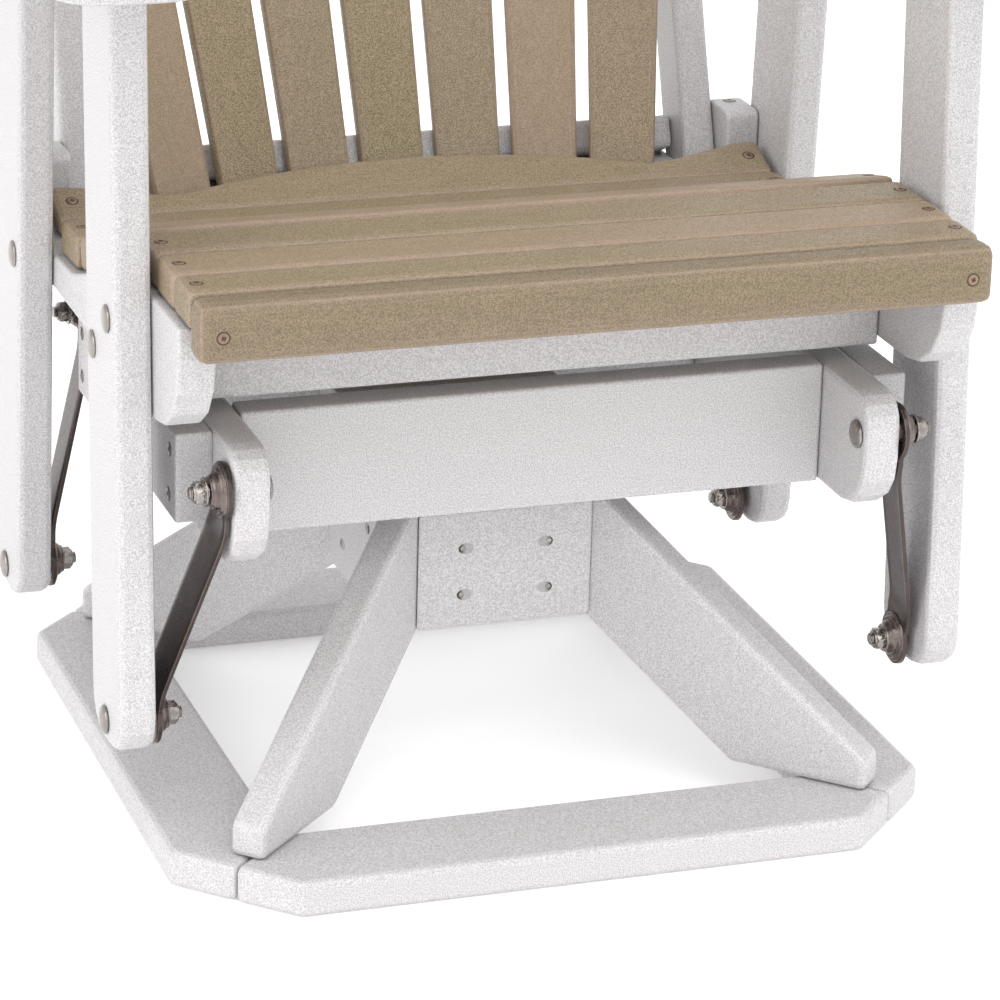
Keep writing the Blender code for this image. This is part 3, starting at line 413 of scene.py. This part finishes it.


# Metals: a base colour, a painted highlight on the edges in a lighter one, and fine mottling in the
# roughness.
metalFinishes = {
    "darkSteel": {"colour": (0.088, 0.068, 0.062), "edge": (0.34, 0.29, 0.27), "edgeHighlightShare": 0.65,
                  "metal": 0.85, "rough": (0.24, 0.42), "radius": 0.0012, "bump": 0.10},
    "bearingSteel": {"colour": (0.165, 0.135, 0.125), "edge": (0.52, 0.45, 0.42), "edgeHighlightShare": 0.75,
                     "metal": 0.95, "rough": (0.18, 0.34), "radius": 0.0010, "bump": 0.08},
    "stainless": {"colour": (0.33, 0.30, 0.28), "edge": (0.66, 0.62, 0.60), "edgeHighlightShare": 0.6,
                  "metal": 1.0, "rough": (0.16, 0.36), "radius": 0.0006, "bump": 0.08},
    "copperScrew": {"colour": (0.31, 0.205, 0.155), "edge": (0.70, 0.48, 0.40), "edgeHighlightShare": 0.7,
                    "metal": 0.8, "rough": (0.26, 0.44), "radius": 0.0005, "bump": 0.08},
    "zincPlate": {"colour": (0.42, 0.42, 0.43), "edge": (0.66, 0.66, 0.67), "edgeHighlightShare": 0.5,
                  "metal": 1.0, "rough": (0.28, 0.50), "radius": 0.0010, "bump": 0.12},
}
# Every metal's surface: fine mottling, and clouds that shade the colour between two shares
metalSurface = {
    "mottle": (700.0, 4.0, 0.6), "cloud": (60.0, 3.0, 0.6), "shades": (0.82, 1.12),
    "breakup": 0.5, "relief": 0.0005,
}


def metalMaterial(name):
    settings = metalFinishes[name]
    material, tree, shader, where = startMaterial(name)
    edgeLit = useGroup(tree, edgeHighlight, {
        "Vector": where, "Radius": settings["radius"], "Breakup": metalSurface["breakup"],
    })
    mottle = noise(tree, where, *metalSurface["mottle"])
    cloud = noise(tree, where, *metalSurface["cloud"])
    edges, share = edgeLit.outputs["Edge"], settings["edgeHighlightShare"]
    # Lighter colour on the edges: painted highlight.
    colour = blendBy(tree, edges, share, settings["colour"], settings["edge"])
    shade = spread(tree, cloud, *noiseRange, *metalSurface["shades"])
    tree.links.new(shaded(tree, colour, shade), shader.inputs["Base Color"])
    shader.inputs["Metallic"].default_value = settings["metal"]
    roughness = spread(tree, mottle, *noiseRange, *settings["rough"])
    tree.links.new(roughness, shader.inputs["Roughness"])
    bump = addNode(tree, "Bump", {
        "Height": mottle, "Normal": edgeLit.outputs["Normal"],
        "Strength": settings["bump"], "Distance": metalSurface["relief"],
    })
    tree.links.new(bump.outputs["Normal"], shader.inputs["Normal"])
    return material


metals = {name: metalMaterial(name) for name in metalFinishes}
for name, obj in nodes.items():
    if "swivel_plate" in name:
        for slot in obj.material_slots:
            slot.material = metals["zincPlate"]
print("metals: done")

pole = 0.0002  # radius at which a turned piece is capped
far = 1  # how far away a line towards a surface starts
inch = 0.0254
down = (0, 0, -1)
ends = ("front", "rear")
sides = ((-1, "left"), (1, "right"))


# Surfaces from whole arrays
def smooth(value):
    # 3t^2 - 2t^3 between 0 and 1
    value = np.clip(value, 0, 1)
    return value * value * (3 - 2 * value)


def tubeFaces(rows, columns):
    # Quads between neighbouring points of closed rings, and a cap on each end ring.
    row = np.arange(rows - 1)[:, None] * columns
    column = np.arange(columns)[None]
    following = (column + 1) % columns
    lower, upper = row, row + columns
    quads = np.stack([lower + column, lower + following, upper + following, upper + column], -1)
    last = (rows - 1) * columns
    return quads.reshape(-1, 4).tolist() + [list(range(columns)), list(range(last, last + columns))]


def turned(rows, count, corners=6):
    # Rows of radius, height and flat about Z. A flat above 0 saws the ring to a polygon:
    # r = min(radius, flat / cos(angle folded onto one side)).
    rows = np.array([(row + (0,))[:3] for row in rows], float)
    angle = np.arange(count) * 2 * math.pi / count
    side = 2 * math.pi / corners
    folded = (angle + side / 2) % side - side / 2
    polygon = np.where(rows[:, 2:] > 0, rows[:, 2:] / np.cos(folded), np.inf)
    radius = np.minimum(rows[:, :1], polygon)
    height = np.broadcast_to(rows[:, 1:2], radius.shape)
    points = np.stack([radius * np.cos(angle), radius * np.sin(angle), height], -1).reshape(-1, 3)
    return points, tubeFaces(len(rows), count)


def profile(shape, radius):
    # Rows from shares of a radius and heights. A share of 0 is the pole.
    return [(max(share * radius, pole), height) for share, height in shape]


def domeRows(radius, rise, rim):
    # A quarter of an ellipse, from its crown at rise down to the rim: r sin a, rim + (rise - rim) cos a
    angles = [step * math.pi / 16 for step in range(9)]
    return [
        (radius * math.sin(angle) + pole, rim + (rise - rim) * math.cos(angle)) for angle in angles
    ]


def discRows(radius, top, bottom, softness=0.0004):
    # A disc's edge with a small chamfer at the top and at the bottom
    return [
        (radius - softness, top), (radius, top - softness),
        (radius, bottom + softness), (radius - softness, bottom),
    ]


def moved(part, matrix):
    points, faces = part
    matrix = np.array(matrix)
    return points @ matrix[:3, :3].T + matrix[:3, 3], faces


def standing(place, normal, spin=0.0):
    # A frame on a surface, with Z out of it.
    turn = Vector(normal).to_track_quat("Z", "Y").to_matrix().to_4x4()
    return Matrix.Translation(place) @ turn @ Matrix.Rotation(spin, 4, "Z")


def addPiece(name, parts, material, body, replaced=(), angle=40):
    starts = np.cumsum([0] + [len(points) for points, faces in parts])
    points = np.concatenate([points for points, faces in parts])
    faces = [
        [index + int(start) for index in face]
        for (own, group), start in zip(parts, starts) for face in group
    ]
    mesh = bpy.data.meshes.new(name)
    mesh.from_pydata(points.tolist(), [], faces)
    bm = bmesh.new()
    bm.from_mesh(mesh)
    bmesh.ops.recalc_face_normals(bm, faces=bm.faces)
    bm.to_mesh(mesh)
    bm.free()
    mesh.shade_smooth()
    mesh.set_sharp_from_angle(angle=math.radians(angle))
    mesh.materials.append(material)
    obj = addObject(name, mesh)
    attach(obj, body)
    if replaced:
        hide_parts(*replaced)
    return obj


surfaces = {}


def touch(node, start, direction):
    # Where a straight line from start first meets a CAD node, and the surface's normal there.
    if node not in surfaces:
        obj = nodes[node]
        corners = [obj.matrix_world @ vertex.co for vertex in obj.data.vertices]
        surfaces[node] = BVHTree.FromPolygons(corners, [face.vertices[:] for face in obj.data.polygons])
    place, normal = surfaces[node].ray_cast(Vector(start), Vector(direction))[:2]
    if place is None:
        print("no surface:", node, [round(value, 4) for value in start])
    return place, normal


def middleOf(node):
    low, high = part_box(node)
    return (low + high) / 2


# Pivot bolts: domed head, spacer, washer, lock nut with its collar, and threaded tail
bolt = {
    "headRadius": 0.0110, "headRise": 0.0042, "rim": 0.0010, "underHead": 0.0003, "shank": 0.0048,
    "grip": 0.0286, "spacer": 0.0030, "bearing": 0.0130, "gap": 0.0003, "shankStep": 0.001,
    "washer": 0.0112, "washerThickness": 0.0016,
    "nutCorner": 0.0092, "nutFlat": 0.0080, "nutHeight": 0.0068,
    "collar": 0.0070, "collarHeight": 0.0016, "collarEdge": 0.0006,
    "tail": 0.0026, "tip": 0.0003, "tipEdge": 0.0008, "root": 0.0041, "pitch": 0.0013,
    # a thread's flanks and crest, in shares of the pitch
    "threadShares": (0.1, 0.45, 0.6, 1),
    "sides": 48, "spin": 0.3,
}


def boltRows(settings):
    # From the crown of the head down to the tip of the tail
    radius, shank, gap = settings["headRadius"], settings["shank"], settings["gap"]
    rows = domeRows(radius, settings["headRise"], settings["rim"])
    rows += [(radius - settings["underHead"], 0), (shank, 0)]
    under = -settings["grip"] - 2 * gap
    rows += [(shank, under)] + discRows(settings["washer"], under, under - settings["spacer"] + gap)
    under -= settings["spacer"] + settings["bearing"] + 2 * gap
    rows += [(shank, under + settings["shankStep"]), (shank, under)]
    rows += discRows(settings["washer"], under, under - settings["washerThickness"])
    under -= settings["washerThickness"]
    corner, flat, height = settings["nutCorner"], settings["nutFlat"], settings["nutHeight"]
    chamfer = corner - flat
    rows += [
        (flat, under, flat), (corner, under - chamfer / 2, flat),
        (corner, under - height + chamfer / 2, flat), (flat, under - height, flat),
    ]
    top, under = under - height, under - height - settings["collarHeight"]
    collar, edge, root = settings["collar"], settings["collarEdge"], settings["root"]
    rows += [(collar, top), (collar, under + edge), (collar - edge, under), (root, under)]
    for index in range(int(settings["tail"] / settings["pitch"])):
        start = under - index * settings["pitch"]
        for share, size in zip(settings["threadShares"], (root, shank, shank, root)):
            rows.append((size, start - share * settings["pitch"]))
    return rows + [(root - settings["tipEdge"], under - settings["tail"] - settings["tip"])]


def addBolts(settings):
    part = turned(boltRows(settings), settings["sides"])
    for end in ends:
        for side, word in sides:
            for level, body in (("upper", "glider_frame"), ("lower", "seat")):
                node = level + "_bolt_" + end + "_" + word
                low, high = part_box(node)
                inner, outer = sorted((abs(low.x), abs(high.x)))
                if level == "upper":
                    headX, outward = side * (inner + settings["headRise"]), -side
                else:
                    headX, outward = side * (outer - settings["headRise"]), side
                middle = middleOf(node)
                place = standing((headX, middle.y, middle.z), (outward, 0, 0), settings["spin"])
                addPiece(level + "Bolt" + end.title() + word.title(), [moved(part, place)],
                         metals["stainless"], body, [node])


addBolts(bolt)
print("bolts: done")

# Swing links: a flat strap, nearly as wide as its eyes and bent twice, with a bearing in each eye
link = {
    "radius": 0.0215, "waist": 0.0190, "thickness": 0.0034, "eye": 0.0050, "endHalf": 0.0004,
    "crown": 0.0007, "crownStart": 0.8,
    "bearing": 0.0180, "joggle": 0.0236, "bendStart": 0.018, "bendLength": 0.026,
    "columns": 23, "rows": 90, "endRows": 16, "sides": 64,
    # radius, height above the bearing's outer face
    "hub": [(0.0205, 0.0004), (0.0205, 0.0048), (0.0200, 0.0056), (0.0192, 0.0057), (0.0186, 0.0052),
            (0.0178, 0.0052), (0.0172, 0.0066), (0.0164, 0.0072), (0.0156, 0.0070), (0.0150, 0.0064),
            (0.0143, 0.0066), (0.0138, 0.0086), (0.0131, 0.0104), (0.0122, 0.0112), (0.0116, 0.0120),
            (0.0112, 0.0130), (0.0052, 0.0130)],
}


def strap(length, settings):
    # Local axes: X out of the chair, Y along it, Z up the link from its top pivot. Its half width
    # is (eye^6 + waist^6)^(1/6), and X runs straight between two bends: the mean of a smooth step.
    radius = settings["radius"]
    turn = np.linspace(0, math.pi / 2, settings["endRows"])
    along = np.concatenate([
        -radius * np.cos(turn),
        np.linspace(0, length, settings["rows"])[1:-1],
        length + radius * np.sin(turn),
    ])
    near = np.minimum(along, length - along)
    eye = np.sqrt(np.clip(radius ** 2 - near ** 2, 0, None))
    waist = settings["waist"] * smooth(near / radius)
    half = (eye ** 6 + waist ** 6) ** (1 / 6) + settings["endHalf"]
    inset = (settings["bearing"] - settings["eye"]) / 2
    slope = smooth((near - settings["bendStart"]) / settings["bendLength"])
    step = np.concatenate([[0], np.cumsum((slope[1:] + slope[:-1]) / 2 * np.diff(along))])
    middle = (settings["joggle"] + 2 * inset) * step / step[-1] - inset
    across = np.linspace(-1, 1, settings["columns"])
    toEdge = (abs(across) - settings["crownStart"]) / (1 - settings["crownStart"])
    x = middle[:, None] - settings["crown"] * smooth(toEdge)
    y = half[:, None] * across
    runX, runY = np.gradient(x, axis=1), np.gradient(y, axis=1)
    long = np.hypot(runX, runY)
    offX, offY = runY / long * settings["thickness"] / 2, -runX / long * settings["thickness"] / 2
    x = np.concatenate([x + offX, (x - offX)[:, ::-1]], 1)
    y = np.concatenate([y + offY, (y - offY)[:, ::-1]], 1)
    z = np.broadcast_to(-along[:, None], x.shape)
    return np.stack([x, y, z], -1).reshape(-1, 3), tubeFaces(len(along), 2 * settings["columns"])


def addLinks(settings):
    rows = [(radius, height - settings["bearing"] / 2) for radius, height in settings["hub"]]
    hub = turned(rows, settings["sides"])
    for end in ends:
        for side, word in sides:
            name = end + "_" + word
            node = "link_" + name
            top, foot = middleOf("upper_bolt_" + name), middleOf("lower_bolt_" + name)
            length = math.hypot(foot.y - top.y, foot.z - top.z)
            lean = math.atan2(foot.y - top.y, top.z - foot.z)
            low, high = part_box("link_" + name)
            inner = min(abs(low.x), abs(high.x))
            place = Matrix.Translation((side * (inner + settings["bearing"] / 2), top.y, top.z))
            place = place @ Matrix.Rotation(lean, 4, "X")
            bar = moved(strap(length, settings), place @ Matrix.Scale(side, 4, (1, 0, 0)))
            footOffset = (side * settings["joggle"], 0, -length)
            bearings = [
                moved(hub, place @ standing(offset, (outward, 0, 0)))
                for offset, outward in (((0, 0, 0), side), (footOffset, -side))
            ]
            corner = end.title() + word.title()
            addPiece("swingLink" + corner, [bar], metals["darkSteel"], node, [node])
            addPiece("linkBearings" + corner, bearings, metals["bearingSteel"], node)


addLinks(link)
print("links: done")

# Screws: a sunk head with a square drive in a dark rim. The rim and the drive's recess are painted
# shade of the countersink and the drive hole.
screw = {
    "sides": 32, "corners": 4, "rim": 1.30, "drive": 0.40, "spin": 1.3,
    # share of the radius, height above the surface
    "head": [(1, 0), (1, 0.0003), (0.92, 0.0006), (0.70, 0.0008), (0, 0.0008)],
    "hollow": [(1, -0.0004), (1, 0.00005), (0.96, 0.00015), (0, 0.00015)],
    "recess": (0.0007, 0.00086),
    # The rims' dark colours are painted shade of the countersinks and drive recesses.
    "rimShadeColours": {"copperScrew": (0.075, 0.050, 0.028), "stainless": (0.200, 0.190, 0.190)},
    "rimNoise": (800.0, 2.0), "rimShades": (0.55, 1.35), "rimRoughness": 0.7,
}


def rimShadeMaterial(metal, colour, settings):
    material, tree, shader, where = startMaterial(metal + "Rim")
    mottle = noise(tree, where, *settings["rimNoise"])
    shade = spread(tree, mottle, *noiseRange, *settings["rimShades"])
    tree.links.new(shaded(tree, colour, shade), shader.inputs["Base Color"])
    shader.inputs["Roughness"].default_value = settings["rimRoughness"]
    return material


def screwParts(radius, settings):
    drive = settings["drive"] * radius
    bottom, top = settings["recess"]
    head = turned(profile(settings["head"], radius), settings["sides"])
    hollow = turned(profile(settings["hollow"], settings["rim"] * radius), settings["sides"])
    square = [(2 * drive, bottom, drive), (2 * drive, top, drive), (pole, top)]
    return head, hollow, turned(square, settings["sides"], settings["corners"])


def addScrews(name, places, radius, metal, body):
    # places: node, start of the line that finds its surface, direction of that line
    head, hollow, recess = screwParts(radius, screw)
    heads, shadedRims = [], []
    for index, (node, start, direction) in enumerate(places):
        place, normal = touch(node, start, direction)
        if place is not None:
            stand = standing(place, normal, screw["spin"] * index)
            heads.append(moved(head, stand))
            shadedRims += [moved(hollow, stand), moved(recess, stand)]
    addPiece(name, heads, metals[metal], body)
    addPiece(name + "Rims", shadedRims, rimShadeMaterials[metal], body)


rimShadeMaterials = {
    metal: rimShadeMaterial(metal, colour, screw) for metal, colour in screw["rimShadeColours"].items()
}

# Screws in the tan boards. Y is counted from the swivel's axis.
tanScrews = {
    "radius": 0.0040, "slats": 7, "slatX": 0.2934,
    "fasciaX": 0.2870, "fasciaHeight": 0.4572, "lumbarX": 0.2896, "lumbarY": 0.1483,
    # at the foot and at the brace, and the share of a slat's box from its side to its middle line
    "backHeights": (0.3900, 0.6700), "middleShare": 0.24,
}


def seatScrewPlaces(settings):
    places = []
    numbers = range(1, settings["slats"] + 1)
    for side in (-1, 1):
        for index in numbers:
            node = "seat_slat_%d" % index
            places.append((node, (side * settings["slatX"], middleOf(node).y, far), down))
        start = (side * settings["fasciaX"], -far, settings["fasciaHeight"])
        places.append(("seat_fascia", start, (0, 1, 0)))
        start = (side * settings["lumbarX"], swivelY + settings["lumbarY"], far)
        places.append(("lumbar_board", start, down))
    # The back's slats lean outwards from their feet, except the middle one
    middle = (settings["slats"] + 1) // 2
    for index in numbers:
        node = "back_slat_%d" % index
        low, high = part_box(node)
        footX, headX = (high.x, low.x) if index < middle else (low.x, high.x)
        inward = (headX - footX) * settings["middleShare"]
        foot, head = footX + inward, headX - inward
        for height in settings["backHeights"]:
            share = (height - low.z) / (high.z - low.z)
            x = 0 if index == middle else foot + (head - foot) * share
            places.append((node, (x, -far, height), (0, 1, 0)))
    return places


# Screws in the white boards. Y is counted from the swivel's axis.
whiteScrews = {
    "radius": 0.0044,
    # in inches, back from the axis and up from the floor
    "stopBoard": ((-6.72, 12.93), (-6.62, 11.52), (4.25, 12.93), (4.25, 11.52)),
    "sideBoardX": 0.2965, "sideBoardY": 0.2130,
    "armX": 0.3250, "topOffset": 0.012, "postShifts": (-0.022, 0.022), "uprightReaches": (0.028, 0.013),
    "railInset": 0.016, "railDropShare": 0.1,
}


def whiteScrewPlaces(settings):
    seat, rails = [], []
    for side, word in sides:
        for y, z in settings["stopBoard"]:
            start = (side * far, swivelY + y * inch, z * inch)
            rails.append(("side_rail_" + word, start, (-side, 0, 0)))
        start = (side * settings["sideBoardX"], swivelY + settings["sideBoardY"], far)
        seat.append(("seat_side_" + word, start, down))
        arm = "arm_" + word
        for end, lean in zip(ends, (-1, 1)):
            low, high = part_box("post_%s_%s" % (end, word))
            y = (low.y + high.y) / 2 - lean * settings["topOffset"]
            for shift in settings["postShifts"]:
                seat.append((arm, (side * settings["armX"], y + shift, high.z + far), down))
        low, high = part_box("upright_" + word)
        for reach in settings["uprightReaches"]:
            seat.append((arm, ((low.x + high.x) / 2, high.y - reach, far), down))
    for node in ("back_rail", "back_brace"):
        low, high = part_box(node)
        height = (low.z + high.z) / 2 - (high.z - low.z) * settings["railDropShare"]
        for side in (-1, 1):
            seat.append((node, (side * (high.x - settings["railInset"]), far, height), (0, -1, 0)))
    return seat, rails


places = seatScrewPlaces(tanScrews)
addScrews("seatScrews", places, tanScrews["radius"], "copperScrew", "seat")
seatWhites, railWhites = whiteScrewPlaces(whiteScrews)
whiteRadius = whiteScrews["radius"]
addScrews("frameScrews", seatWhites, whiteRadius, "stainless", "seat")
addScrews("railScrews", railWhites, whiteRadius, "stainless", "glider_frame")
print("screws: done")


# Domed bolts that hold the seat's side boards and the uprights to the posts
postBolt = {
    "radius": 0.0105, "rise": 0.0036, "rim": 0.0009, "sides": 48,
    "edgeHeight": 0.0004, "sunk": 0.0008, "undercut": 0.0006,
    # in inches, back from the swivel's axis and up from the floor
    "places": (("front", -6.90, 17.12), ("front", -5.15, 15.80), ("rear", 5.45, 15.32)),
}


def addPostBolts(settings):
    radius = settings["radius"]
    rows = domeRows(radius, settings["rise"], settings["rim"])
    rows += [(radius, settings["edgeHeight"]), (radius - settings["undercut"], -settings["sunk"])]
    dome = turned(rows, settings["sides"])
    parts = []
    for side, word in sides:
        for end, y, z in settings["places"]:
            node = "post_%s_%s" % (end, word)
            start = (side * far, swivelY + y * inch, z * inch)
            place, normal = touch(node, start, (-side, 0, 0))
            if place is not None:
                parts.append(moved(dome, standing(place, normal)))
    addPiece("postBolts", parts, metals["stainless"], "seat")


addPostBolts(postBolt)


# Pocket screw holes in the hub: shallow ovals drawn as flat discs with painted shade, dark towards the
# side they are drilled to.
pocket = {
    "across": 0.0062, "tall": 0.0045, "ovalSides": 48, "headSides": 24,
    # in inches, out from the middle of the board and up from the floor
    "places": ((1.29, 7.72), (1.31, 6.20)),
    "oval": [(1.0, -0.0002), (1.0, 0.0002), (0.93, 0.00028), (0.7, 0.00026), (0.45, 0.00026),
             (0.2, 0.00026), (0.02, 0.00026)],
    "screw": 0.0021, "screwShare": 0.45, "screwRise": 0.0004,
    "head": [(1, 0.0002), (1, 0.0008), (0.6, 0.0010), (0, 0.0009)],
    "shallow": 0.18, "holeShadeStart": 0.05, "holeShadeLength": 0.75,
    "light": (0.50, 0.485, 0.49), "dark": (0.030, 0.026, 0.025), "roughness": 0.6,
    "noise": (900.0, 2.0), "ragged": (-0.12, 0.12),
}


def holeShadeMaterial(settings):
    material, tree, shader, where = startMaterial("pocketHole")
    # The attribute holds how dark each point of the oval is: painted shade in the hole.
    holeShade = addNode(tree, "Attribute", attribute_name="holeShade").outputs["Fac"]
    ragged = spread(tree, noise(tree, where, *settings["noise"]), *noiseRange, *settings["ragged"])
    mask = calculate(tree, "ADD", holeShade, ragged, clamp=True)
    colour = blendColours(tree, mask, settings["light"], settings["dark"])
    tree.links.new(colour, shader.inputs["Base Color"])
    shader.inputs["Roughness"].default_value = settings["roughness"]
    return material


def addPockets(settings):
    holes, screws, holeShades = [], [], []
    oval = turned(settings["oval"], settings["ovalSides"])
    head = turned(profile(settings["head"], settings["screw"]), settings["headSides"])
    shallow, up = settings["shallow"], Vector((0, 0, 1))
    normals = {"front": (0, -1, 0), "back": (0, 1, 0), "left": (-1, 0, 0), "right": (1, 0, 0)}
    for word, normal in normals.items():
        normal = Vector(normal)
        sideways = up.cross(normal)
        for across, height in settings["places"]:
            for side in (-1, 1):
                start = normal + sideways * side * across * inch + Vector((0, swivelY, height * inch))
                place = touch("hub_board_" + word, start, -normal)[0]
                if place is None:
                    continue
                axes = Matrix((sideways, up, normal)).transposed().to_4x4()
                stand = Matrix.Translation(place) @ axes
                size = Matrix.Diagonal((settings["across"], settings["tall"], 1, 1))
                holes.append(moved(oval, stand @ size))
                # A share of painted shade along the oval, darkest at the side the hole is drilled to.
                inside = (side * oval[0][:, 0] - settings["holeShadeStart"]) / settings["holeShadeLength"]
                holeShades.append(shallow + (1 - shallow) * smooth(inside))
                offset = (side * settings["screwShare"] * settings["across"], settings["screwRise"], 0)
                screws.append(moved(head, stand @ Matrix.Translation(offset)))
    obj = addPiece("pocketHoles", holes, holeShadeMaterial(settings), "base")
    attribute = obj.data.attributes.new("holeShade", "FLOAT", "POINT")
    attribute.data.foreach_set("value", np.concatenate(holeShades))
    addPiece("pocketScrews", screws, metals["stainless"], "base")


addPockets(pocket)


# Hex screws at the corners of both swivel plates
plateScrew = {
    # radius, height above the plate, half of the width across flats
    "rows": [(0.0052, 0.0004), (0.0052, 0.0010), (0.0048, 0.0010, 0.0040), (0.0050, 0.0014, 0.0040),
             (0.0050, 0.0034, 0.0040), (0.0044, 0.0039, 0.0040), (0.0006, 0.0040)],
    "sides": 36, "inset": 0.012, "spin": 0.4,
    # node, body, the side that the screws are on
    "plates": (("swivel_plate_lower", "base", 1), ("swivel_plate_upper", "glider_frame", -1)),
}


def addPlateScrews(settings):
    head = turned(settings["rows"], settings["sides"])
    for node, body, face in settings["plates"]:
        low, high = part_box(node)
        reach = high.x - settings["inset"]
        parts = []
        for x in (-1, 1):
            for y in (-1, 1):
                start = (x * reach, swivelY + y * reach, (low.z + high.z) / 2 + face * far)
                place, normal = touch(node, start, (0, 0, -face))
                if place is not None:
                    parts.append(moved(head, standing(place, normal, settings["spin"] * x)))
        addPiece(node.split("_")[2] + "PlateScrews", parts, metals["zincPlate"], body)


addPlateScrews(plateScrew)
print("hub: done")
